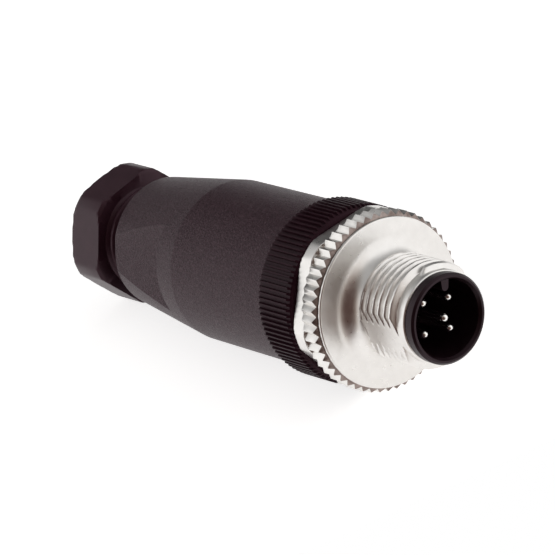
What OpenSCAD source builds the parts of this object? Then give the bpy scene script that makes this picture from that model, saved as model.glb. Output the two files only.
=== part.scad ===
// Straight five-pole M12 cable connector, male, with screw terminals.
// Each piece is drawn upright about the connector's axis: z = 0 is the front face of the insert rim and
// z grows towards the cable. lay() then puts the mating end towards +X, with the axis level.
// Angles about the axis are counted from straight up.

/* [Insert] */
// How far the bead round the insert's mouth stands out from the thin shell
rim_step = 0.35; // [0.2:0.05:0.4]
// Length of the bead in front of the coupling ring
rim_len = 1.2; // [0.8:0.1:1.6]
// Wall of the insert's thin shell inside the coupling ring
shell_wall = 0.4; // [0.3:0.05:0.45]
// Depth of the contact cavity
cavity_depth = 9.5; // [8:0.5:10.5]
// Width of the coding key at the cavity wall
key_w = 1.1; // [0.8:0.1:1.3]
// Height of the coding key over the cavity wall
key_h = 1.25; // [0.9:0.05:1.4]
// Direction of the coding key
key_angle = 24; // [0:1:360]
// Distance from the mouth to the front of the key
key_recess = 0.4; // [0.2:0.1:1.5]
// Diameter of the flange that carries the coupling ring
flange_d = 14.7; // [14:0.1:15.2]
// Diameter of the terminal block
block_d = 13.2; // [13.1:0.1:13.4]
// Length of the terminal block behind the terminals
block_tail = 0.5; // [0.3:0.1:1]

/* [Contacts] */
// Diameter of a contact pin
pin_d = 1.0; // [0.8:0.1:1.1]
// Diameter of the circle of the four outer pins
pin_circle_d = 5.0; // [4.8:0.1:5.2]
// Distance from the mouth to the outer pin tips
pin_recess = 1.9; // [1:0.1:3]
// How far the centre pin stands in front of the others
centre_lead = 1.4; // [0:0.1:1.8]
// Diameter of a terminal barrel
barrel_d = 3.6; // [3.4:0.1:3.7]
// Length of a terminal barrel
barrel_len = 5.8; // [5:0.1:7]
// Diameter of the circle of terminal barrels
barrel_circle_d = 9.0; // [8.8:0.1:9]
// Diameter of the wire hole
wire_d = 1.8; // [1.5:0.1:1.9]
// Depth of the wire hole
wire_depth = 4.8; // [4:0.1:5]
// Width of the strap that joins pin and barrel
strap_w = 1.1; // [0.9:0.1:1.3]
// Thickness of the strap that joins pin and barrel
strap_t = 1.0; // [0.8:0.1:1.4]
// Thread diameter of a terminal screw
screw_d = 1.8; // [1.6:0.1:2]
// Length of a terminal screw
screw_len = 1.5; // [1.3:0.1:1.7]
// Width of the screw's slot
slot_w = 0.4; // [0.3:0.05:0.5]
// Depth of the screw's slot
slot_depth = 0.5; // [0.3:0.05:0.6]

/* [Coupling ring] */
// Major diameter of the coupling thread
thread_d = 12; // [11.9:0.05:12.1]
// Pitch of the coupling thread
thread_pitch = 1; // [0.75:0.25:1]
// Length of the coupling thread
thread_len = 5.75; // [4.5:0.25:7]
// Distance across the two flats on the thread
thread_flats = 11.1; // [11.05:0.05:11.6]
// Direction of the thread's flats
thread_flat_angle = -87; // [-180:1:180]
// How far the smooth pilot in front of the thread lies below the thread's root
pilot_drop = 0.2; // [0.1:0.05:0.3]
// Wall of the ring at its pilot
pilot_wall = 0.37; // [0.3:0.01:0.45]
// Length of the pilot
pilot_len = 1.65; // [1:0.05:2.5]
// How far the neck behind the thread lies below the thread's root
neck_drop = 0.05; // [0.01:0.01:0.15]
// Radius of the flare from the neck into the disc
flare_r = 1.8; // [1.2:0.1:2.2]
// Diameter of the front disc
disc_d = 19.2; // [18:0.1:19.4]
// How far the disc stands in front of the teeth
disc_step = 0.35; // [0.2:0.05:0.6]
// Diameter over the teeth
teeth_d = 20.7; // [20.4:0.1:21.2]
// Depth of a tooth
tooth_depth = 0.65; // [0.4:0.05:0.7]
// Number of teeth
tooth_count = 54; // [36:6:60]
// Length of the teeth
tooth_len = 2.5; // [1.6:0.1:3]
// Distance across the ring's hexagon
ring_hex = 18.4; // [18:0.1:19]
// Diameter over the hexagon's rounded corners
ring_hex_d = 20.2; // [19.6:0.1:20.3]
// Length of the hexagon
ring_hex_len = 1.95; // [1.5:0.05:3]
// Direction of one side of the ring's hexagon
ring_hex_angle = 6; // [0:1:60]
// Thickness of the ring in front of the insert's flange
ring_web = 1.7; // [1.2:0.1:2.4]

/* [Grip ring] */
// How far the grip ribs stay below the teeth
grip_step = 0.2; // [0.05:0.05:0.4]
// Height of a rib
rib_h = 0.32; // [0.2:0.02:0.4]
// Number of ribs
rib_count = 100; // [60:4:108]
// Width of a rib at its foot
rib_w = 0.38; // [0.3:0.02:0.5]
// Length of the grip ring's ribbed part
grip_len = 6; // [5:0.1:7]
// Smooth margin at each end of the ribs
rib_margin = 0.2; // [0.1:0.05:0.5]
// Wall of the threaded spigot at its thread's root
spigot_wall = 0.28; // [0.2:0.02:0.4]
// Pitch of the spigot's thread
spigot_pitch = 1; // [0.75:0.25:1]
// Length of the spigot
spigot_len = 4.6; // [4:0.1:5]
// Thickness of the sealing ring's section
oring_t = 1.2; // [1:0.05:1.3]

/* [Housing] */
// Wall of the housing round the sealing ring
housing_wall = 0.62; // [0.5:0.02:0.9]
// How far the straight part narrows towards its rear end, on each side
shoulder_step = 0.1; // [0:0.05:0.3]
// Length of the straight part
barrel_part_len = 17.2; // [16:0.1:18]
// Wall of the housing round the gland screw, at the rear end
tail_wall = 1.07; // [1:0.01:1.4]
// Length of the tapered part
taper_len = 13.8; // [13:0.1:16]
// Distance across the wrench flats
wrench_flats = 14.5; // [14:0.1:14.7]
// Length of the wrench flats from the rear end
wrench_len = 8.85; // [6:0.05:9.5]
// Direction of the wrench flats
wrench_angle = -65; // [-90:1:90]
// Wall that stops the cable seal
seal_stop = 1; // [0.8:0.1:1.5]

/* [Cable gland] */
// Outer diameter of the cable seal
seal_d = 11.1; // [10.6:0.1:11.3]
// Length of the cable seal
seal_len = 5.9; // [4.5:0.1:6.5]
// Bore of the cable seal
seal_bore = 6.2; // [6:0.1:6.6]
// Major diameter of the gland thread
gland_thread_d = 12.5; // [12.2:0.05:12.6]
// Pitch of the gland thread
gland_pitch = 1.27; // [1:0.01:1.5]
// Length of the gland screw's thread
gland_thread_len = 6.1; // [5.5:0.05:6.6]
// Bore for the cable through the gland screw
cable_bore = 7.2; // [7:0.1:7.6]
// Gap between housing and gland screw before tightening
gland_gap = 3.4; // [2.4:0.1:3.8]
// Gap that is left when the gland screw is tight
gland_stop = 0.3; // [0.2:0.05:0.6]
// Distance across the gland screw's hexagon
gland_hex = 14.4; // [14:0.1:14.8]
// Diameter over the hexagon's rounded corners
gland_hex_d = 15.9; // [15.4:0.1:16.2]
// Length of the gland screw's hexagon
gland_hex_len = 5.3; // [4:0.1:6]
// Direction of one side of the gland screw's hexagon
gland_hex_angle = 0; // [0:1:60]
// Length of the clamp cage
cage_len = 2.9; // [2.4:0.1:3.2]
// Bore for the cable through the clamp cage
cage_bore = 6.4; // [6.2:0.1:6.8]
// Number of fingers on the clamp cage
finger_count = 8; // [6:1:12]
// Width of the slots between the fingers
finger_slot = 0.8; // [0.5:0.1:1.2]
// Thickness of the cage's closed ring
cage_ring = 0.9; // [0.6:0.1:1.2]

/* [Clearances] */
// Radial gap of threads and turning seats
run_gap = 0.08; // [0.05:0.01:0.1]
// Gap between pieces that are pressed together
press_gap = 0.02; // [0.01:0.01:0.03]
// End play of the coupling ring at each end
end_play = 0.12; // [0.08:0.01:0.2]
// Seam between the grip ring and the housing
seam = 0.05; // [0.03:0.01:0.1]
// Size of the small edge chamfers
edge = 0.25; // [0.15:0.05:0.3]

/* [Hidden] */
$fn = 96;
eps = 0.01;

// Depth of an external thread, for its pitch
function thread_depth(pitch) = 0.6 * pitch;

// Diameters of the coupling ring's front and of the insert's shell in it
thread_root_d = thread_d - 2 * thread_depth(thread_pitch);
pilot_d = thread_root_d - 2 * pilot_drop;
neck_d = thread_root_d - 2 * neck_drop;
shell_d = pilot_d - 2 * pilot_wall - 2 * run_gap;
rim_d = shell_d + 2 * rim_step;
cavity_d = shell_d - 2 * shell_wall;
key_tip_r = cavity_d / 2 - key_h;

// Diameters of the grip ring, the spigot and the housing
grip_d = teeth_d - 2 * grip_step;
spigot_d = block_d + 2 * (press_gap + spigot_wall + thread_depth(spigot_pitch));
seal_room_d = spigot_d + 2 * oring_t + 2 * run_gap;
housing_d = seal_room_d + 2 * housing_wall;
shoulder_d = housing_d - 2 * shoulder_step;
gland_bore_d = gland_thread_d + 2 * run_gap;
tail_d = gland_bore_d + 2 * tail_wall;

// Stations along the axis, from the mouth to the cable
ring_z = rim_len + end_play;
thread_z = ring_z + pilot_len;
neck_z = thread_z + thread_len;
disc_z = neck_z + flare_r;
teeth_z = disc_z + disc_step;
ring_hex_z = teeth_z + tooth_len;
ring_end_z = ring_hex_z + ring_hex_len;
flange_z = disc_z + ring_web + end_play;
grip_z = ring_end_z + end_play;
grip_end_z = grip_z + grip_len;
housing_z = grip_end_z + seam;
spigot_end_z = grip_end_z + spigot_len;
shoulder_z = housing_z + barrel_part_len;
tail_z = shoulder_z + taper_len;
gland_hex_z = tail_z + gland_gap;
gland_front_z = gland_hex_z - gland_thread_len;
gland_end_z = gland_hex_z + gland_hex_len;
cage_z = gland_front_z - press_gap - cage_len;
seal_end_z = cage_z - (gland_gap - gland_stop) - seam;
seal_z = seal_end_z - seal_len;
strap_z = spigot_end_z;
barrel_z = strap_z + strap_t;
barrel_end_z = barrel_z + barrel_len;
block_end_z = barrel_end_z + block_tail;
screw_z = barrel_z + barrel_len * 0.55;

// The row's origin lies on the axis, half way along the coupling thread
origin_z = thread_z + thread_len / 2;

// Pin and barrel directions, from straight up; the fifth pin is on the axis
pin_angles = [key_angle + 45, key_angle - 45, key_angle - 135, key_angle + 135];
barrel_angles = [key_angle + 36, key_angle - 36, key_angle - 108, key_angle + 108, key_angle + 180];
function pin_at(i) = i < 4
    ? [pin_circle_d / 2 * cos(pin_angles[i]), pin_circle_d / 2 * sin(pin_angles[i])]
    : [0, 0];
function barrel_at(i) = [barrel_circle_d / 2 * cos(barrel_angles[i]), barrel_circle_d / 2 * sin(barrel_angles[i])];
function pin_tip(i) = i < 4 ? pin_recess : pin_recess - centre_lead;

// Points of a ring of pointed teeth
function teeth(r_root, r_tip, count) = [
    for (i = [0 : 2 * count - 1])
        let (r = i % 2 == 0 ? r_tip : r_root, a = i * 180 / count)
        [r * cos(a), r * sin(a)]];

// Points of a ring of narrow blunt ribs
function ribs(r_root, r_tip, count, foot_w) = [
    for (i = [0 : count - 1], side = [-1, -0.45, 0.45, 1])
        let (r = abs(side) == 1 ? r_root : r_tip, a = i * 360 / count + side * asin(foot_w / 2 / r_tip))
        [r * cos(a), r * sin(a)]];

// Outline of a thread as parallel grooves between whole crests, as [radius, z] points
function thread_grooves(major_r, pitch, z0, z1) =
    let (depth = thread_depth(pitch), rise = depth * tan(30), land = pitch / 2 - rise,
         count = floor((z1 - z0 - land) / pitch + eps))
    [for (i = [0 : 1 : count - 1],
          p = [[0, land / 2], [depth, land / 2 + rise], [depth, land * 1.5 + rise], [0, pitch - land / 2]])
        [major_r - p[0], z0 + i * pitch + p[1]]];

// Turns the upright drawing down: +z goes to -X, angle 0 to +Z and angle 90 to +Y
module lay() {
    translate([origin_z, 0, 0])
        rotate([0, -90, 0])
            children();
}

module tube_z(z0, z1, d) {
    translate([0, 0, z0])
        cylinder(d = d, h = z1 - z0);
}

// Solid of revolution from [radius, z] points
module turned(points) {
    rotate_extrude()
        polygon(points);
}

// Hexagonal prism with turned corners, chamfered towards both ends
module hex_bar(z0, z1, across, corner_d, front_cut, rear_cut) {
    intersection() {
        translate([0, 0, z0])
            rotate(30)
                cylinder(d = across / cos(30), h = z1 - z0, $fn = 6);
        turned([[0, z0], [corner_d / 2 - front_cut, z0], [corner_d / 2, z0 + front_cut],
                [corner_d / 2, z1 - rear_cut], [corner_d / 2 - rear_cut, z1], [0, z1]]);
    }
}

module coding_key() {
    round_r = key_w * 0.4;
    wall_r = (cavity_d + shell_d) / 4;
    rotate(key_angle)
        translate([0, 0, key_recess])
            linear_extrude(cavity_depth - key_recess + eps) {
                polygon([[key_tip_r + round_r, -round_r], [wall_r, -key_w / 2],
                         [wall_r, key_w / 2], [key_tip_r + round_r, round_r]]);
                translate([key_tip_r + round_r, 0])
                    circle(r = round_r, $fn = 32);
            }
}

// Room for one contact: pin hole, strap slot, barrel pocket and screw access
module contact_pocket(i) {
    gap = press_gap;
    pin = pin_at(i);
    barrel = barrel_at(i);
    translate([pin[0], pin[1], cavity_depth - eps])
        cylinder(d = pin_d + 2 * gap, h = strap_z - cavity_depth + 2 * eps, $fn = 32);
    translate([pin[0], pin[1], strap_z - gap])
        cylinder(d = strap_w + 2 * gap, h = block_end_z - strap_z + 1, $fn = 32);
    strap_box(i, strap_z - gap, block_end_z + 1, strap_w + 2 * gap);
    translate([barrel[0], barrel[1], strap_z - gap])
        cylinder(d = barrel_d + 2 * gap, h = block_end_z - strap_z + 1, $fn = 64);
    translate([0, 0, screw_z])
        rotate([0, 90, barrel_angles[i]])
            cylinder(d = screw_d + 0.3, h = block_d, $fn = 48);
}

// Bar between the pin's axis and the barrel's axis
module strap_box(i, z0, z1, width) {
    pin = pin_at(i);
    barrel = barrel_at(i);
    run = barrel - pin;
    translate([pin[0], pin[1], z0])
        rotate(atan2(run[1], run[0]))
            translate([0, -width / 2, 0])
                cube([norm(run), width, z1 - z0]);
}

module contact_carrier() {
    color("#1d1b1c")
        lay() {
            difference() {
                turned([[0, 0], [rim_d / 2 - edge, 0], [rim_d / 2, edge], [rim_d / 2, rim_len],
                        [shell_d / 2, rim_len], [shell_d / 2, flange_z],
                        [flange_d / 2 - edge, flange_z], [flange_d / 2, flange_z + edge],
                        [flange_d / 2, grip_z], [block_d / 2, grip_z],
                        [block_d / 2, block_end_z - edge], [block_d / 2 - edge, block_end_z], [0, block_end_z]]);
                turned([[0, -1], [cavity_d / 2 + edge, -1], [cavity_d / 2 + edge, 0],
                        [cavity_d / 2, edge * 1.6], [cavity_d / 2, cavity_depth], [0, cavity_depth]]);
                for (i = [0 : 4])
                    contact_pocket(i);
            }
            coding_key();
        }
}

// One contact: domed pin, strap and drilled terminal barrel
module contact(i) {
    pin = pin_at(i);
    barrel = barrel_at(i);
    color("#c9c4b6")
        lay()
            difference() {
                union() {
                    translate([pin[0], pin[1], pin_tip(i) + pin_d / 2]) {
                        sphere(d = pin_d, $fn = 32);
                        cylinder(d = pin_d, h = strap_z - pin_tip(i) - pin_d / 2 + eps, $fn = 32);
                    }
                    translate([pin[0], pin[1], strap_z])
                        cylinder(d = strap_w, h = strap_t, $fn = 32);
                    strap_box(i, strap_z, strap_z + strap_t, strap_w);
                    translate([barrel[0], barrel[1], strap_z])
                        cylinder(d = barrel_d, h = strap_t + barrel_len, $fn = 64);
                }
                translate([barrel[0], barrel[1], barrel_end_z - wire_depth])
                    cylinder(d = wire_d, h = wire_depth + 1, $fn = 48);
                translate([0, 0, screw_z])
                    rotate([0, 90, barrel_angles[i]])
                        translate([0, 0, barrel_circle_d / 2])
                            cylinder(d = screw_d + 2 * press_gap, h = barrel_d, $fn = 48);
            }
}

// Headless slotted screw, driven in from the side of the terminal block
module terminal_screw(i) {
    top_r = (block_d - edge) / 2;
    color("#a9a59c")
        lay()
            translate([0, 0, screw_z])
                rotate([0, 90, barrel_angles[i]])
                    difference() {
                        translate([0, 0, top_r - screw_len])
                            cylinder(d = screw_d, h = screw_len, $fn = 48);
                        translate([-screw_d, -slot_w / 2, top_r - slot_depth])
                            cube([2 * screw_d, slot_w, slot_depth + 1]);
                    }
}

module thread_flat_cuts() {
    for (side = [0, 180])
        rotate(thread_flat_angle + side)
            translate([thread_flats / 2, -thread_d, thread_z - eps])
                cube([thread_d, 2 * thread_d, thread_len + 2 * eps]);
}

// Revolved front of the coupling ring: pilot, thread, neck, flare and disc
module ring_front() {
    neck_r = neck_d / 2;
    run_out_z = neck_z - thread_depth(thread_pitch) * tan(30);
    turned(concat(
        [[0, ring_z], [pilot_d / 2 - edge, ring_z], [pilot_d / 2, ring_z + edge], [pilot_d / 2, thread_z],
         [thread_d / 2 - edge, thread_z], [thread_d / 2, thread_z + edge]],
        thread_grooves(thread_d / 2, thread_pitch, thread_z + edge, run_out_z),
        [[thread_d / 2, run_out_z], [neck_r, neck_z]],
        [for (a = [9 : 9 : 90]) [neck_r + flare_r * (1 - cos(a)), neck_z + flare_r * sin(a)]],
        [[disc_d / 2 - edge, disc_z], [disc_d / 2, disc_z + edge], [disc_d / 2, teeth_z + eps],
         [0, teeth_z + eps]]));
}

module ring_teeth() {
    tip_r = teeth_d / 2;
    cut = tooth_depth / 2;
    intersection() {
        translate([0, 0, teeth_z])
            linear_extrude(tooth_len)
                polygon(teeth(tip_r - tooth_depth, tip_r, tooth_count));
        turned([[0, teeth_z], [tip_r - cut / 3, teeth_z], [tip_r, teeth_z + cut / 3],
                [tip_r, ring_hex_z - cut], [tip_r - cut, ring_hex_z], [0, ring_hex_z]]);
    }
}

module coupling_ring() {
    seat_d = flange_d + 2 * run_gap;
    color("#cfcbc4")
        lay()
            difference() {
                union() {
                    difference() {
                        ring_front();
                        thread_flat_cuts();
                    }
                    rotate(ring_hex_angle) {
                        ring_teeth();
                        hex_bar(ring_hex_z - eps, ring_end_z, ring_hex, ring_hex_d, 0, edge * 1.5);
                    }
                }
                tube_z(0, ring_end_z + 1, shell_d + 2 * run_gap);
                tube_z(flange_z - end_play, ring_end_z + 1, seat_d);
            }
}

module grip_ring() {
    tip_r = grip_d / 2;
    root_r = tip_r - rib_h;
    rib_z = grip_z + rib_margin;
    rib_end_z = grip_end_z - rib_margin;
    lead_z = spigot_end_z - edge * 2;
    color("#232022")
        lay()
            difference() {
                union() {
                    turned(concat(
                        [[0, grip_z], [root_r - edge, grip_z], [root_r, grip_z + edge],
                         [root_r, grip_end_z - edge], [root_r - edge, grip_end_z], [spigot_d / 2, grip_end_z]],
                        thread_grooves(spigot_d / 2, spigot_pitch, grip_end_z + oring_t + run_gap, lead_z),
                        [[spigot_d / 2, lead_z], [spigot_d / 2 - edge * 2, spigot_end_z], [0, spigot_end_z]]));
                    intersection() {
                        translate([0, 0, rib_z])
                            linear_extrude(rib_end_z - rib_z)
                                polygon(ribs(root_r - edge, tip_r, rib_count, rib_w));
                        turned([[0, rib_z], [root_r, rib_z], [tip_r, rib_z + rib_h],
                                [tip_r, rib_end_z - rib_h], [root_r, rib_end_z], [0, rib_end_z]]);
                    }
                }
                tube_z(grip_z - 1, spigot_end_z + 1, block_d + 2 * press_gap);
            }
}

// Sealing ring round the foot of the spigot
module housing_seal() {
    color("#141414")
        lay()
            translate([0, 0, grip_end_z + oring_t / 2])
                rotate_extrude()
                    translate([(spigot_d + oring_t) / 2 + press_gap, 0])
                        circle(d = oring_t, $fn = 32);
}

// Cuts one wrench flat, with a 45 degree turned run-out at its front end
module wrench_cut() {
    run_out = tail_d;
    difference() {
        translate([wrench_flats / 2, -tail_d, tail_z - wrench_len - run_out])
            cube([tail_d, 2 * tail_d, wrench_len + run_out + 1]);
        translate([0, 0, tail_z - wrench_len - run_out - eps])
            cylinder(r1 = wrench_flats / 2 + run_out + eps, r2 = wrench_flats / 2, h = run_out + eps);
        tube_z(tail_z - wrench_len - 2 * run_out, tail_z - wrench_len - run_out, 4 * tail_d);
    }
}

module housing() {
    seal_seat_d = seal_d + 2 * run_gap;
    chamber_d = spigot_d + 2 * run_gap - 1;
    throat_d = cable_bore + 1.4;
    stop_z = seal_z - seal_stop;
    color("#37312f")
        lay()
            difference() {
                turned([[0, housing_z], [housing_d / 2 - edge, housing_z], [housing_d / 2, housing_z + edge],
                        [shoulder_d / 2, shoulder_z], [tail_d / 2 + edge / 2, tail_z - edge],
                        [tail_d / 2 - edge, tail_z], [0, tail_z]]);
                turned([[0, housing_z - 1], [seal_room_d / 2, housing_z - 1],
                        [seal_room_d / 2, grip_end_z + oring_t + run_gap],
                        [spigot_d / 2 + run_gap, grip_end_z + oring_t + run_gap],
                        [spigot_d / 2 + run_gap, spigot_end_z + 1],
                        [chamber_d / 2, spigot_end_z + 1.5],
                        [chamber_d / 2, stop_z - (chamber_d - throat_d) / 2],
                        [throat_d / 2, stop_z], [throat_d / 2, seal_z],
                        [seal_seat_d / 2, seal_z], [seal_seat_d / 2, seal_end_z],
                        [gland_bore_d / 2, seal_end_z], [gland_bore_d / 2, tail_z - edge],
                        [gland_bore_d / 2 + edge, tail_z], [gland_bore_d / 2 + edge, tail_z + 1], [0, tail_z + 1]]);
                for (side = [0, 180])
                    rotate(wrench_angle + side)
                        wrench_cut();
            }
}

module cable_seal() {
    color("#3c3c3c")
        lay()
            difference() {
                turned([[0, seal_z], [seal_d / 2 - edge, seal_z], [seal_d / 2, seal_z + edge],
                        [seal_d / 2, seal_end_z - edge], [seal_d / 2 - edge, seal_end_z], [0, seal_end_z]]);
                tube_z(seal_z - 1, seal_end_z + 1, seal_bore);
            }
}

// Slotted cage that grips the cable when the gland screw pushes it forward
module clamp_cage() {
    cage_end_z = cage_z + cage_len;
    finger_end_z = cage_end_z - cage_ring;
    color("#5a5a58")
        lay()
            difference() {
                turned([[0, cage_z], [gland_thread_d / 2 - edge * 3, cage_z],
                        [gland_thread_d / 2, cage_z + edge * 3], [gland_thread_d / 2, cage_end_z], [0, cage_end_z]]);
                tube_z(cage_z - 1, cage_end_z + 1, cage_bore);
                for (i = [0 : finger_count - 1])
                    rotate(i * 360 / finger_count)
                        translate([0, -finger_slot / 2, cage_z - 1])
                            cube([gland_thread_d, finger_slot, finger_end_z - cage_z + 1]);
            }
}

module gland_screw() {
    thread_r = gland_thread_d / 2;
    lead_z = gland_front_z + edge * 2;
    color("#211f20")
        lay()
            difference() {
                union() {
                    turned(concat(
                        [[0, gland_front_z], [thread_r - edge * 2, gland_front_z], [thread_r, lead_z]],
                        thread_grooves(thread_r, gland_pitch, lead_z, gland_hex_z),
                        [[thread_r, gland_hex_z + eps], [0, gland_hex_z + eps]]));
                    rotate(gland_hex_angle)
                        hex_bar(gland_hex_z, gland_end_z, gland_hex, gland_hex_d, edge, edge * 2);
                }
                tube_z(gland_front_z - 1, gland_end_z + 1, cable_bore);
                turned([[0, gland_end_z - edge * 2], [cable_bore / 2, gland_end_z - edge * 2],
                        [cable_bore / 2 + edge * 2, gland_end_z], [cable_bore / 2 + edge * 2, gland_end_z + 1],
                        [0, gland_end_z + 1]]);
            }
}

contact_carrier();
contact(0);  // pin_1
contact(1);  // pin_2
contact(2);  // pin_3
contact(3);  // pin_4
contact(4);  // pin_5
terminal_screw(0);  // terminal_screw_1
terminal_screw(1);  // terminal_screw_2
terminal_screw(2);  // terminal_screw_3
terminal_screw(3);  // terminal_screw_4
terminal_screw(4);  // terminal_screw_5
coupling_ring();
grip_ring();
housing_seal();
housing();
cable_seal();
clamp_cage();
gland_screw();
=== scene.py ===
"""Looks of the straight five-pole M12 cable connector.

Lengths are in millimetres until they reach a mesh or a node. Angles about the axis run from +Z towards +Y,
and named angles are in degrees.
"""

import math

import bpy
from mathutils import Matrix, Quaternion, Vector


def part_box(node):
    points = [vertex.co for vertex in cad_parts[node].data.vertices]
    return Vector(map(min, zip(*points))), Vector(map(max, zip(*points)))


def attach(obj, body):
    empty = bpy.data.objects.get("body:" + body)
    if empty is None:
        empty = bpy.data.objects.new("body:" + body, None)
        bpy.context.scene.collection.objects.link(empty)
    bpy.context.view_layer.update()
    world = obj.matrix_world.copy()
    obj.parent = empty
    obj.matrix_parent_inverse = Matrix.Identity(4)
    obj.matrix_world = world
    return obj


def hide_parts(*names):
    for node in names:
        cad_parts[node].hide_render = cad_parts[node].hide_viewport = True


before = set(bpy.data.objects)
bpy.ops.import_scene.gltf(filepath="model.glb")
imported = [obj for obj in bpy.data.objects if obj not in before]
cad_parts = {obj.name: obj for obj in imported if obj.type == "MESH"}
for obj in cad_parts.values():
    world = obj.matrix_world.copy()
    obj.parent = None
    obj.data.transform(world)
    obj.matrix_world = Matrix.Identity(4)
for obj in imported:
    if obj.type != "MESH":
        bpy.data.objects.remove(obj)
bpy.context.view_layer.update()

MM = 0.001

# Profile of a thread: shares of the pitch that are blunt crest and plain root, and how round its flanks are
CREST_SHARE, ROOT_SHARE, FLANK_ROUND = 0.28, 0.08, 0.25
# Angle over which the first crest rises to its full height
CREST_RISE = 12.0

# Pilot of the coupling ring, the smooth front end of its thread
PILOT_R, PILOT_LEN, PILOT_ROUND = 5.25, 1.65, 0.2
# Coupling thread
THREAD_R, THREAD_DEPTH, THREAD_LEN, PITCH = 6.0, 0.6, 5.75, 1.0
# Where its first crest starts: behind the ring's front, and about the axis
THREAD_START_BACK, THREAD_START_AT = 0.88, 2.0
# Where its root starts to rise from the pilot to its own radius, behind that start, and over what length
ROOT_START, ROOT_RUN = 0.5, 0.4
# Cone that cuts the first crests down: radius at the start and slope; slope of the last crest's fall
LEAD_R, LEAD_SLOPE, THREAD_END_SLOPE = 5.88, 0.4, 2.0
# Pair of flats on the thread: distance from the axis and direction
THREAD_FLAT_R, THREAD_FLAT_AT = 5.25, -87.0
# Neck behind the thread, and the flare that leads to the disc
NECK_R, FLARE_R, FLARE_LEN = 5.35, 2.2, 1.8
# Disc: radius, rounding of its rim, and distance of its face from the teeth
DISC_R, DISC_ROUND, DISC_STEP = 9.6, 0.18, 0.35
# Teeth: number, radius of the tips, depth and length
TEETH, TOOTH_R, TOOTH_DEPTH, TOOTH_LEN = 54, 10.25, 0.55, 2.5
# Fronts of the teeth: radius above which they slope back, and slope
TOOTH_FOOT_R, TOOTH_FRONT_SLOPE = 9.4, 0.5
# Hexagon of the coupling ring: distance from the axis to its sides and to its rounded corners, and its turn
RING_HEX_R, RING_CORNER_R, RING_HEX_AT = 9.2, 10.1, 6.0
# Bores of the coupling ring, depth of the wide one, and chamfer at the front of the narrow one
SHELL_BORE_R, FLANGE_BORE_R, FLANGE_BORE_LEN, BORE_CHAMFER = 4.83, 7.43, 3.1, 0.12

# Gland screw: thread and the chamfer at its start, hexagon, and bore for the cable
GLAND_THREAD_R, GLAND_PITCH, GLAND_DEPTH, GLAND_CHAMFER = 6.25, 1.27, 0.6, 0.5
GLAND_HEX_R, GLAND_CORNER_R, GLAND_HEX_LEN, CABLE_R = 7.2, 7.95, 5.3, 3.6

# Rounded edges, as pairs of a distance from the end face and the depth of the cut there
TOOTH_FRONT_EDGE = ((0.0, 0.04), (0.05, 0.0))
TOOTH_REAR_EDGE = ((0.34, 0.0), (0.1, 0.2), (0.0, 0.34))
RING_REAR_EDGE = ((0.4, 0.0), (0.22, 0.06), (0.08, 0.2), (0.0, 0.4))
GLAND_FRONT_EDGE = ((0.0, 0.5), (0.12, 0.2), (0.3, 0.03), (0.6, 0.0))
GLAND_REAR_EDGE = ((0.9, 0.0), (0.5, 0.1), (0.2, 0.35), (0.05, 0.7), (0.0, 0.95))
GLAND_BORE_EDGE = ((0.0, 0.6), (0.15, 0.25), (0.6, 0.0))

# Fineness of the meshes: steps about the axis, steps to a tooth or an arc, and steps along the two threads
ROUND_STEPS, TOOTH_STEPS, EDGE_STEPS, FLARE_STEPS = 288, 8, 5, 16
THREAD_STEP, GLAND_THREAD_STEP = 0.05, 0.06
# How far ahead of the first crest the fine steps begin
THREAD_AHEAD = 0.4
# Distance of an extra ring of points from a rounding, so that the face beside it is shaded flat
SHADE_RING = 0.02
# Extra ring on the disc's hidden rear face, below its rim
REAR_RING = 0.4
# Gap between the two pieces of the ring, and step where its teeth meet its hexagon
SKIN_STEP = 0.05

# Places along the axis where the coupling ring's forms begin, from its front to its rear
RING_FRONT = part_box("coupling_ring")[1].x / MM
NECK_X = RING_FRONT - PILOT_LEN - THREAD_LEN
DISC_X = NECK_X - FLARE_LEN
TEETH_X = DISC_X - DISC_STEP
RING_HEX_X = TEETH_X - TOOTH_LEN
RING_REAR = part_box("coupling_ring")[0].x / MM


# ---------------------------------------------------------------- meshes

def point(x, r, angle):
    return (x * MM, r * math.sin(angle) * MM, r * math.cos(angle) * MM)


def lathe(name, body, stations, steps, smooth_angle):
    """Closed ring-shaped mesh about the axis, which rides on a body.

    A station is an x and an r, and each of them is a number or a function of the angle.
    """
    points = []
    for x, r in stations:
        for i in range(steps):
            angle = 2 * math.pi * i / steps
            points.append(point(x(angle) if callable(x) else x, r(angle) if callable(r) else r, angle))
    faces = []
    count = len(stations)
    for s in range(count):
        for i in range(steps):
            a, b = s * steps, (s + 1) % count * steps
            j = (i + 1) % steps
            faces.append((a + i, a + j, b + j, b + i))
    mesh = bpy.data.meshes.new(name)
    mesh.from_pydata(points, [], faces)
    mesh.validate()
    piece = bpy.data.objects.new(name, mesh)
    bpy.context.scene.collection.objects.link(piece)
    mesh.shade_smooth()
    mesh.set_sharp_from_angle(angle=math.radians(smooth_angle))
    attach(piece, body)
    return piece


def arc(x0, r0, radius, start, end, steps):
    """Points of a round stretch in the (x, r) plane, centred on (x0, r0)."""
    points = []
    for i in range(steps + 1):
        a = math.radians(start + (end - start) * i / steps)
        points.append((x0 + radius * math.cos(a), r0 + radius * math.sin(a)))
    return points


def along(front, rear, step, radius_at):
    """Stations from front to rear, about a step apart."""
    steps = round((front - rear) / step)
    return [(x, radius_at(x)) for x in (front + (rear - front) * i / steps for i in range(steps + 1))]


def clamp(value):
    return min(max(value, 0.0), 1.0)


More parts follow.
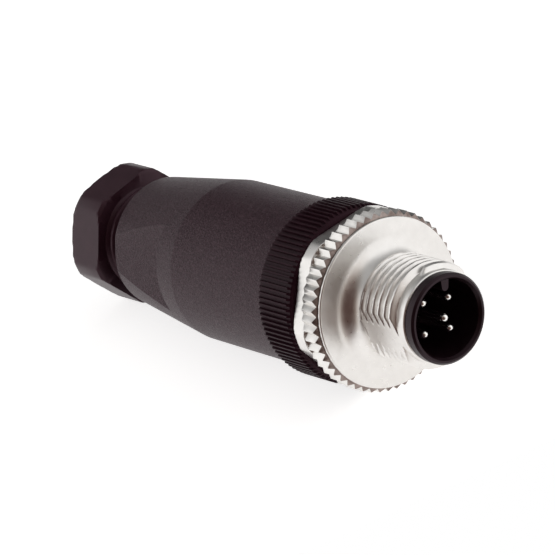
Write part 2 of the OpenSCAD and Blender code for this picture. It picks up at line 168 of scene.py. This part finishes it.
def thread_height(back, angle, pitch, start=0.0):
    """Height of a right-handed thread, 0 at its root and 1 at its crest, this far behind its start.

    The first crest begins at the angle called start, and rises out of the surface there.
    """
    past = (angle - math.radians(start)) % (2 * math.pi)
    turns = back / pitch - past / (2 * math.pi)
    crest = round(turns)
    if crest < 0:
        return 0.0
    down = clamp((abs(turns - crest) * 2 - CREST_SHARE) / (1 - CREST_SHARE - ROOT_SHARE))
    height = 1 - (1 - FLANK_ROUND) * down - FLANK_ROUND * down * down * (3 - 2 * down)
    return height * clamp(past / math.radians(CREST_RISE)) if crest == 0 else height


def hexagon(side_r, corner_r, turn=0.0, cut=0.0, sunk=0.0):
    """Radius of a hexagon with rounded corners that may be cut down, or of one that is sunk all round."""
    sharpness = 14.0

    def radius(angle):
        a = (angle - math.radians(turn) + math.pi / 6) % (math.pi / 3) - math.pi / 6
        side = side_r / math.cos(a)
        rounded = -math.log(math.exp(-sharpness * side) + math.exp(-sharpness * corner_r)) / sharpness
        return min(rounded, corner_r - cut) - sunk
    return radius


def flat_radius(angle, away, turn):
    """Distance from the axis to a pair of opposite flats, or far off where the ray runs along them."""
    along_flats, far = 1e-3, 1e3
    c = abs(math.cos(angle - math.radians(turn)))
    return away / c if c > along_flats else far


def tooth_radius(angle, cut=0.0):
    """Radius of the pointed teeth, or of the same teeth with their tips cut down."""
    t = ((angle - math.radians(RING_HEX_AT)) * TEETH / (2 * math.pi)) % 1.0
    up = abs(t - 0.5) * 2
    return TOOTH_R - cut - TOOTH_DEPTH * (1 - up) * (1 - cut / TOOTH_DEPTH)


# ---------------------------------------------------------------- materials

class Nodes:
    """The node tree of a material or world, with short calls to add to it."""

    def __init__(self, owner):
        self.owner = owner
        owner.use_nodes = True
        self.tree = owner.node_tree
        self.shader = next(n for n in self.tree.nodes if n.type in ("BSDF_PRINCIPLED", "BACKGROUND"))
        coordinates = self.tree.nodes.new("ShaderNodeTexCoord").outputs
        self.place = coordinates["Object"]
        self.way = coordinates["Generated"]

    def link(self, value, socket):
        """Joins a socket to another one, or gives it a plain value."""
        if isinstance(value, bpy.types.NodeSocket):
            self.tree.links.new(value, socket)
        else:
            socket.default_value = value

    def add(self, kind, inputs=None, **settings):
        node = self.tree.nodes.new("ShaderNode" + kind)
        for key, value in settings.items():
            setattr(node, key, value)
        for key, value in (inputs or {}).items():
            self.link(value, node.inputs[key])
        return node

    def noise(self, per_mm, detail=4.0, rough=0.55):
        inputs = {"Vector": self.place, "Scale": per_mm / MM, "Detail": detail, "Roughness": rough}
        return self.add("TexNoise", inputs).outputs["Fac"]

    def grains(self, per_mm):
        inputs = {"Vector": self.place, "Scale": per_mm / MM}
        return self.add("TexVoronoi", inputs, feature="SMOOTH_F1").outputs["Distance"]

    def ramp(self, fac, stops):
        node = self.add("ValToRGB", {"Fac": fac})
        for i, (place, colour) in enumerate(stops):
            stop = node.color_ramp.elements[i] if i < 2 else node.color_ramp.elements.new(place)
            stop.position = place
            stop.color = (*colour, 1)
        return node.outputs["Color"]

    def span(self, value, low, high, start=0.0, end=1.0):
        """Goes from low to high while the value goes from start to end."""
        inputs = {"Value": value, "From Min": start, "From Max": end, "To Min": low, "To Max": high}
        return self.add("MapRange", inputs).outputs["Result"]

    def calc(self, operation, a, b):
        return self.add("Math", {0: a, 1: b}, operation=operation).outputs["Value"]

    def bump(self, height, strength, depth_mm, normal=None):
        inputs = {"Height": height, "Strength": strength, "Distance": depth_mm * MM}
        if normal:
            inputs["Normal"] = normal
        return self.add("Bump", inputs).outputs["Normal"]

    def seen(self):
        """1 for rays that show the scene: from the camera, mirrored or through glass."""
        path = self.add("LightPath").outputs
        mirrored = self.calc("MAXIMUM", path["Is Glossy Ray"], path["Is Transmission Ray"])
        return self.calc("MAXIMUM", path["Is Camera Ray"], mirrored)

    def set(self, **values):
        """Fills the shader's sockets, whose names have spaces where these have underscores."""
        for key, value in values.items():
            self.link(value, self.shader.inputs[key.replace("_", " ")])
        return self.owner


# Tint of the gloss on the black mouldings
PLASTIC_TINT = (1.0, 0.74, 0.84, 1)


def material(name):
    return Nodes(bpy.data.materials.new(name))


def nickel(name, light, dark, rough, grain):
    """Nickel plate with cloudy colour and roughness over a fine grain."""
    n = material(name)
    colour = n.ramp(n.noise(per_mm=0.8, detail=3), [(0.35, dark), (0.65, light)])
    roughness = n.span(n.noise(per_mm=1.4, detail=3), *rough, start=0.3, end=0.7)
    normal = n.bump(n.noise(per_mm=6.0, detail=3), strength=grain, depth_mm=0.02)
    return n.set(Base_Color=colour, Metallic=1.0, Roughness=roughness, Normal=normal)


def satin_nickel():
    return nickel("satin_nickel", light=(0.83, 0.81, 0.785), dark=(0.79, 0.77, 0.745), rough=(0.27, 0.35),
                  grain=0.2)


def recess_shade_nickel():
    """Painted shade on the tooth fronts: a darker, duller brownish nickel that stands in for the shade of
    their recess behind the disc.
    """
    return nickel("recess_shade_nickel", light=(0.38, 0.315, 0.29), dark=(0.20, 0.155, 0.14), rough=(0.36, 0.48),
                  grain=0.7)


def contact_plate():
    return nickel("contact_plate", light=(0.90, 0.89, 0.87), dark=(0.84, 0.83, 0.80), rough=(0.12, 0.2),
                  grain=0.1)


def screw_plate():
    return nickel("screw_plate", light=(0.66, 0.65, 0.62), dark=(0.58, 0.57, 0.55), rough=(0.3, 0.4),
                  grain=0.2)


def housing_sand():
    """Nearly black moulding with a fine sand texture."""
    n = material("housing_sand")
    fine = n.noise(per_mm=6.0, detail=4, rough=0.7)
    speck = n.noise(per_mm=5.5, detail=3, rough=0.85)
    colour = n.ramp(speck, [(0.40, (0.014, 0.003, 0.007)), (0.5, (0.027, 0.008, 0.014)),
                            (0.60, (0.090, 0.054, 0.066))])
    normal = n.bump(n.grains(per_mm=4.5), strength=0.5, depth_mm=0.08)
    normal = n.bump(fine, strength=0.8, depth_mm=0.08, normal=normal)
    return n.set(Base_Color=colour, Roughness=n.span(fine, 0.34, 0.56), Specular_IOR_Level=0.32,
                 Specular_Tint=PLASTIC_TINT, Normal=normal)


def smooth_plastic(name, colour, dusty, rough, gloss):
    """Smooth moulding with faint flow marks."""
    n = material(name)
    flow = n.noise(per_mm=0.5, detail=3)
    mixed = n.ramp(flow, [(0.3, colour), (0.75, dusty)])
    normal = n.bump(n.noise(per_mm=9.0, detail=3, rough=0.6), strength=0.15, depth_mm=0.03)
    return n.set(Base_Color=mixed, Roughness=n.span(flow, *rough), Specular_IOR_Level=gloss,
                 Specular_Tint=PLASTIC_TINT, Normal=normal)


def gland_black():
    return smooth_plastic("gland_black", colour=(0.032, 0.010, 0.017), dusty=(0.046, 0.018, 0.027),
                          rough=(0.34, 0.44), gloss=0.32)


def grip_black():
    return smooth_plastic("grip_black", colour=(0.022, 0.006, 0.011), dusty=(0.034, 0.011, 0.018),
                          rough=(0.36, 0.46), gloss=0.12)


def carrier_black():
    return smooth_plastic("carrier_black", colour=(0.009, 0.003, 0.005), dusty=(0.014, 0.006, 0.009),
                          rough=(0.27, 0.36), gloss=0.3)


def cage_grey():
    return smooth_plastic("cage_grey", colour=(0.10, 0.10, 0.095), dusty=(0.13, 0.13, 0.125),
                          rough=(0.4, 0.5), gloss=0.3)


def seal_rubber():
    n = material("seal_rubber")
    fine = n.noise(per_mm=8.0, detail=3)
    colour = n.ramp(fine, [(0.3, (0.012, 0.012, 0.012)), (0.7, (0.022, 0.021, 0.021))])
    return n.set(Base_Color=colour, Roughness=n.span(fine, 0.55, 0.75),
                 Normal=n.bump(fine, strength=0.3, depth_mm=0.03))


def dress(piece, finish, first_finish=None, first_faces=0):
    """Gives a piece its finish, and another one to this many of its first faces."""
    mesh = piece.data
    mesh.materials.clear()
    mesh.materials.append(finish)
    if first_finish:
        mesh.materials.append(first_finish)
        for face in mesh.polygons[:first_faces]:
            face.material_index = 1


# ---------------------------------------------------------------- pieces

def coupling_ring_front():
    """Pilot, threaded neck, flare and disc of the coupling ring, in one turned skin."""
    start_x = RING_FRONT - THREAD_START_BACK
    root_r = THREAD_R - THREAD_DEPTH
    flare_x, flare_r = DISC_X + FLARE_R, NECK_R + FLARE_R
    rim_r = DISC_R - DISC_ROUND
    rear_x = TEETH_X + SKIN_STEP

    def thread(x):
        back = start_x - x
        base = PILOT_R + (root_r - PILOT_R) * clamp((back - ROOT_START) / ROOT_RUN)
        lead = LEAD_R + LEAD_SLOPE * back
        end = NECK_R + max(x - NECK_X, 0) * THREAD_END_SLOPE
        flare = flare_r - math.sqrt(FLARE_R ** 2 - (flare_x - x) ** 2) if x < flare_x else 0

        def radius(angle):
            ridge = base + (THREAD_R - base) * thread_height(back, angle, PITCH, THREAD_START_AT)
            r = max(min(ridge, lead), PILOT_R)
            return max(flare, min(r, end, flat_radius(angle, THREAD_FLAT_R, THREAD_FLAT_AT)))
        return radius

    stations = [(rear_x, SHELL_BORE_R), (RING_FRONT - BORE_CHAMFER, SHELL_BORE_R),
                (RING_FRONT, SHELL_BORE_R + BORE_CHAMFER)]
    stations += arc(RING_FRONT - PILOT_ROUND, PILOT_R - PILOT_ROUND, PILOT_ROUND, 0, 90, EDGE_STEPS)
    stations += along(start_x + THREAD_AHEAD, NECK_X, THREAD_STEP, thread)
    flare_start = math.degrees(math.asin((flare_x - NECK_X) / FLARE_R))
    stations += arc(flare_x, flare_r, FLARE_R, -90 - flare_start, -180, FLARE_STEPS)[1:]
    stations += [(DISC_X, r) for r in (flare_r + SHADE_RING, rim_r - SHADE_RING, rim_r)]
    stations += arc(DISC_X - DISC_ROUND, rim_r, DISC_ROUND, 0, 90, EDGE_STEPS)[1:]
    stations += [(rear_x, DISC_R), (rear_x, DISC_R - REAR_RING)]
    piece = lathe("coupling_ring_front", "ring", stations, ROUND_STEPS, smooth_angle=40)
    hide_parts("coupling_ring")
    return piece


def coupling_ring_rear():
    """Toothed band and hexagon of the coupling ring. Its first two rows of faces are the front."""
    seat = RING_REAR + FLANGE_BORE_LEN

    def teeth(cut):
        return lambda angle: tooth_radius(angle, cut)

    def tooth_front(back):
        return lambda angle: TEETH_X - back - TOOTH_FRONT_SLOPE * (tooth_radius(angle) - TOOTH_FOOT_R)

    def sides(cut=0.0, sunk=0.0):
        return hexagon(RING_HEX_R, RING_CORNER_R, RING_HEX_AT, cut, sunk)

    stations = [(TEETH_X, SHELL_BORE_R), (TEETH_X, TOOTH_FOOT_R)]
    stations += [(tooth_front(back), teeth(cut)) for back, cut in TOOTH_FRONT_EDGE]
    stations += [(RING_HEX_X + away, teeth(cut)) for away, cut in TOOTH_REAR_EDGE]
    stations += [(RING_HEX_X, sides(sunk=SKIN_STEP)), (RING_HEX_X - SKIN_STEP, sides())]
    stations += [(RING_REAR + away, sides(cut)) for away, cut in RING_REAR_EDGE]
    stations += [(RING_REAR, FLANGE_BORE_R), (seat, FLANGE_BORE_R), (seat, SHELL_BORE_R)]
    piece = lathe("coupling_ring_rear", "ring", stations, TEETH * TOOTH_STEPS, smooth_angle=32)
    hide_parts("coupling_ring")
    return piece


def gland_screw():
    """Gland screw with its cut thread and rounded hexagon."""
    low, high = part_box("gland_screw")
    front, rear = high.x / MM, low.x / MM
    hex_x = rear + GLAND_HEX_LEN
    root_r = GLAND_THREAD_R - GLAND_DEPTH

    def thread(x):
        back = front - x
        lead = GLAND_THREAD_R - GLAND_CHAMFER + back
        return lambda angle: min(root_r + GLAND_DEPTH * thread_height(back, angle, GLAND_PITCH), lead)

    def sides(cut):
        return hexagon(GLAND_HEX_R, GLAND_CORNER_R, cut=cut)

    stations = [(front, CABLE_R)]
    stations += along(front, hex_x, GLAND_THREAD_STEP, thread)
    stations += [(hex_x - away, sides(cut)) for away, cut in GLAND_FRONT_EDGE]
    stations += [(rear + away, sides(cut)) for away, cut in GLAND_REAR_EDGE]
    stations += [(rear + away, CABLE_R + cut) for away, cut in GLAND_BORE_EDGE]
    piece = lathe("gland_screw_body", "gland", stations, ROUND_STEPS, smooth_angle=35)
    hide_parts("gland_screw")
    return piece


def dress_pieces():
    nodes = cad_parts
    ring_finish = satin_nickel()
    front_faces = 2 * TEETH * TOOTH_STEPS
    dress(coupling_ring_front(), ring_finish)
    # The tooth fronts get a darker brownish nickel, painted shade of their recess behind the disc
    dress(coupling_ring_rear(), ring_finish, recess_shade_nickel(), front_faces)
    dress(gland_screw(), gland_black())
    dress(nodes["housing"], housing_sand())
    dress(nodes["grip_ring"], grip_black())
    dress(nodes["contact_carrier"], carrier_black())
    dress(nodes["clamp_cage"], cage_grey())
    rubber = seal_rubber()
    for name in ("housing_seal", "cable_seal"):
        dress(nodes[name], rubber)
    pin_finish, screw_finish = contact_plate(), screw_plate()
    for i in range(1, 6):
        dress(nodes[f"pin_{i}"], pin_finish)
        dress(nodes[f"terminal_screw_{i}"], screw_finish)


# ---------------------------------------------------------------- stage

# Camera: its direction from the object, roll, distance, lens, what it looks at, and the depths it takes in
CAMERA_AZIMUTH, CAMERA_ELEVATION, CAMERA_ROLL = 62.17, 27.66, 25.77
CAMERA_DISTANCE, CAMERA_LENS, CAMERA_SENSOR = 600.0, 360.0, 36.0
CAMERA_AIM = (-6.03, -10.44, 10.75)
CAMERA_NEAR, CAMERA_FAR = 10.0, 10000.0

# White floor: its reach towards the camera and all other ways, its colour, and its lift where it is seen
FLOOR_FRONT, FLOOR_REACH, FLOOR_WHITE, FLOOR_LIFT = 24.0, 3000.0, 0.8, 0.92
# Place on the gland screw, from its rear end, where it rests on the floor
GLAND_REST = 0.5

# Brightness of the studio
STUDIO_LEVEL = 1.15
# Dark warm room around the camera: its direction, and its colours from its edge inwards, each with a place
# that is 0 straight away from the room and 1 straight towards it
ROOM_AZIMUTH, ROOM_ELEVATION = 45.0, 9.0
ROOM_COLOURS = [(0.695, (1, 1, 1)), (0.757, (0.90, 0.87, 0.84)), (0.815, (0.55, 0.50, 0.46)),
                (0.86, (0.25, 0.195, 0.17)), (0.905, (0.13, 0.085, 0.07)), (0.941, (0.07, 0.04, 0.034))]
# Dark gap over the far edge of the floor: its direction and level, and the angles off it where it begins and
# where it has that level
GAP_AZIMUTH, GAP_ELEVATION, GAP_LEVEL, GAP_EDGE, GAP_FULL = -135.0, 12.0, 0.05, 68.0, 14.0
# Dimmer ceiling: its level, and the elevations where it begins and where it has that level
CEILING_LEVEL, CEILING_EDGE, CEILING_FULL = 0.4, 35.0, 60.0


def direction(azimuth, elevation):
    """Direction from the object, with azimuth 0 at -Y and 90 at +X."""
    a, e = math.radians(azimuth), math.radians(elevation)
    return Vector((math.sin(a) * math.cos(e), -math.cos(a) * math.cos(e), math.sin(e)))


def make_camera():
    back = direction(CAMERA_AZIMUTH, CAMERA_ELEVATION)
    data = bpy.data.cameras.new("camera")
    data.lens = CAMERA_LENS
    data.sensor_width = CAMERA_SENSOR
    data.clip_start, data.clip_end = CAMERA_NEAR * MM, CAMERA_FAR * MM
    camera = bpy.data.objects.new("camera", data)
    bpy.context.scene.collection.objects.link(camera)
    camera.rotation_mode = "QUATERNION"
    roll = Quaternion((0, 0, 1), math.radians(-CAMERA_ROLL))
    camera.rotation_quaternion = (-back).to_track_quat("-Z", "Y") @ roll
    camera.location = (Vector(CAMERA_AIM) + back * CAMERA_DISTANCE) * MM
    bpy.context.scene.camera = camera


def floor_material():
    """White that keeps the object's shadow, lifted to the background's white where it is seen."""
    n = material("stage_white")
    white = (FLOOR_WHITE, FLOOR_WHITE, FLOOR_WHITE, 1)
    return n.set(Base_Color=white, Roughness=0.9, Specular_IOR_Level=0.0, Emission_Color=white,
                 Emission_Strength=n.calc("MULTIPLY", n.seen(), FLOOR_LIFT))


def make_floor():
    """Floor under the rear end of the lowest teeth and the gland screw, on which the connector lies."""
    rest_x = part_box("gland_screw")[0].x / MM + GLAND_REST
    front = direction(CAMERA_AZIMUTH, 0)
    side = direction(CAMERA_AZIMUTH + 90, 0)
    corners = []
    for ahead, across in ((FLOOR_FRONT, -FLOOR_REACH), (FLOOR_FRONT, FLOOR_REACH),
                          (-FLOOR_REACH, FLOOR_REACH), (-FLOOR_REACH, -FLOOR_REACH)):
        corners.append((front * ahead + side * across) * MM)
    mesh = bpy.data.meshes.new("floor")
    mesh.from_pydata(corners, [], [(0, 1, 2, 3)])
    floor = bpy.data.objects.new("floor", mesh)
    bpy.context.scene.collection.objects.link(floor)
    floor.location = Vector((RING_HEX_X, 0, -TOOTH_R)) * MM
    floor.rotation_euler.y = math.atan((TOOTH_R - GLAND_HEX_R) / (RING_HEX_X - rest_x))
    dress(floor, floor_material())


def make_world():
    """White studio with its dark room, gap and ceiling, which metal mirrors. The camera sees plain white."""
    world = bpy.data.worlds.new("studio")
    bpy.context.scene.world = world
    n = Nodes(world)

    def toward(azimuth, elevation):
        """Cosine of the angle to this direction."""
        aim = direction(azimuth, elevation)
        return n.add("VectorMath", {0: n.way, 1: aim}, operation="DOT_PRODUCT").outputs["Value"]

    def cosine(angle):
        return math.cos(math.radians(angle))

    def sine(angle):
        return math.sin(math.radians(angle))

    room = n.ramp(n.span(toward(ROOM_AZIMUTH, ROOM_ELEVATION), 0, 1, start=-1, end=1), ROOM_COLOURS)
    gap = n.span(toward(GAP_AZIMUTH, GAP_ELEVATION), STUDIO_LEVEL, GAP_LEVEL, start=cosine(GAP_EDGE),
                 end=cosine(GAP_FULL))
    up = n.add("SeparateXYZ", {"Vector": n.way}).outputs["Z"]
    ceiling = n.span(up, 1.0, CEILING_LEVEL, start=sine(CEILING_EDGE), end=sine(CEILING_FULL))
    path = n.add("LightPath").outputs
    plain = n.calc("MAXIMUM", path["Is Camera Ray"], path["Is Transmission Ray"])
    colour = n.add("MixRGB", {"Fac": plain, "Color1": room, "Color2": (1, 1, 1, 1)}).outputs["Color"]
    n.set(Color=colour, Strength=n.calc("MAXIMUM", n.calc("MULTIPLY", gap, ceiling), plain))


def make_stage():
    make_camera()
    make_floor()
    make_world()
    bpy.context.scene.view_settings.view_transform = "Standard"


dress_pieces()
make_stage()
